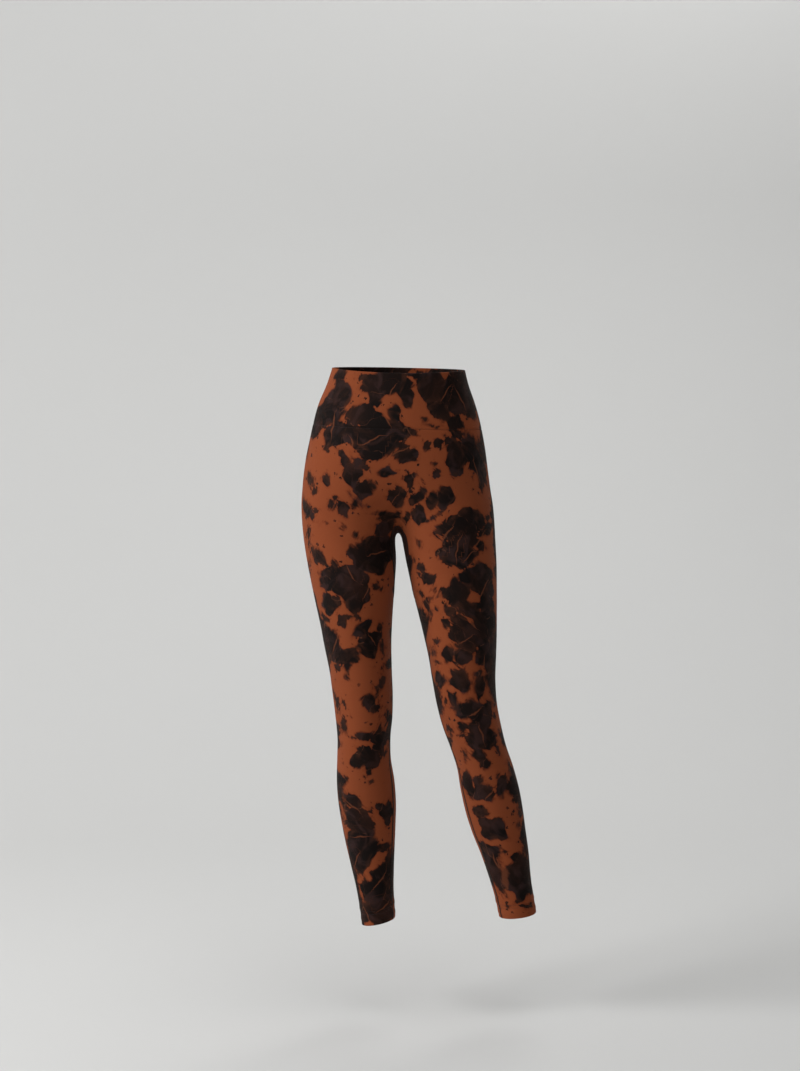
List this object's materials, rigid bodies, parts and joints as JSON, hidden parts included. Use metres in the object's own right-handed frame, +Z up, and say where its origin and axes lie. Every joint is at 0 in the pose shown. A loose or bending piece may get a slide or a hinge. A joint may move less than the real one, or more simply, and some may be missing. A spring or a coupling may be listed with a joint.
{
  "type": "leggings",
  "caption": "High-waisted, ankle-length jersey leggings with a deep waistband and narrow turned-up hems, hollow and filled out in a standing pose.",
  "frame": {"origin": "the middle of the waistband's top edge, where the wearer holds the garment up", "axes": "+Z up, the front faces -Y, +X is the wearer's left"},
  "size_m": [0.4218, 0.2191, 1.0073],
  "materials": {
    "dyed_jersey": "brushed stretch jersey, rust ground with soft-edged black-brown dye blots, matte with a faint nap",
    "gusset_jersey": "the same dyed jersey, between flatlocked seams",
    "waistband_jersey": "the same dyed jersey, doubled",
    "hem_jersey": "the same dyed jersey, turned up and coverstitched"
  },
  "bodies": {
    "root": {"body": "dyed_jersey", "gusset": "gusset_jersey", "waistband": "waistband_jersey", "hem_right": "hem_jersey", "hem_left": "hem_jersey"}
  },
  "joints": []
}
